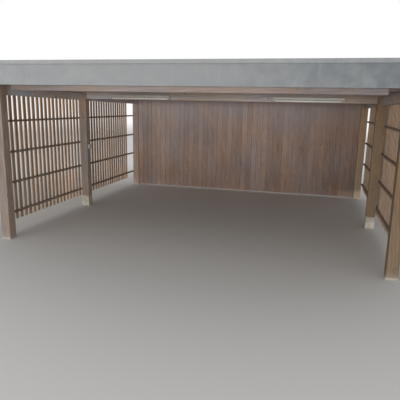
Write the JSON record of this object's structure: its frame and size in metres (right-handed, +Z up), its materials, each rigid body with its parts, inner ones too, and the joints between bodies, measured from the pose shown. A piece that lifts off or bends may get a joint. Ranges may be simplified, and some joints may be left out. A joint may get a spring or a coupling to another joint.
{
  "type": "carport",
  "caption": "Open double timber carport with a flat roof in a deep metal fascia, slatted side screens and a boarded back wall.",
  "frame": {"origin": "on the ground, under the middle of the roof", "axes": "+X to the right seen from the open front, +Y from the open front to the back wall, +Z up"},
  "size_m": [6.2232, 5.623, 2.6798],
  "materials": {
    "post_wood": "sawn, weathered",
    "beam_wood": "planed, stained",
    "front_beam_wood": "planed, stained",
    "slat_wood": "sawn, stained",
    "board_wood": "sawn, stained",
    "roof_wood": "sawn",
    "roof_covering": "matte",
    "fascia_metal": "satin",
    "foot_stone": "cast concrete",
    "light_metal": "gloss",
    "light_tube": "opal",
    "conduit": "matte",
    "switch": "gloss"
  },
  "bodies": {
    "root": {"front_left_post": "post_wood", "front_right_post": "post_wood", "middle_left_post": "post_wood", "middle_right_post": "post_wood", "back_left_post": "post_wood", "back_right_post": "post_wood", "left_side_beam": "beam_wood", "right_side_beam": "beam_wood", "middle_cross_beam": "beam_wood", "back_cross_beam": "beam_wood", "front_joists": "beam_wood", "back_joists": "beam_wood", "front_cross_beam": "front_beam_wood", "left_front_screen": "slat_wood", "left_back_screen": "slat_wood", "right_front_screen": "slat_wood", "right_back_screen": "slat_wood", "back_wall": "board_wood", "back_wall_rails": "board_wood", "roof_deck": "roof_wood", "rim_packers": "roof_wood", "front_rim_board": "roof_wood", "back_rim_board": "roof_wood", "left_rim_board": "roof_wood", "right_rim_board": "roof_wood", "roof_covering": "roof_covering", "front_fascia": "fascia_metal", "back_fascia": "fascia_metal", "left_fascia": "fascia_metal", "right_fascia": "fascia_metal", "front_coping": "fascia_metal", "back_coping": "fascia_metal", "left_coping": "fascia_metal", "right_coping": "fascia_metal", "foot_blocks": "foot_stone", "left_light_body": "light_metal", "right_light_body": "light_metal", "left_light_tube": "light_tube", "right_light_tube": "light_tube", "conduit": "conduit", "junction_box": "conduit", "switch_box": "switch"}
  },
  "joints": []
}
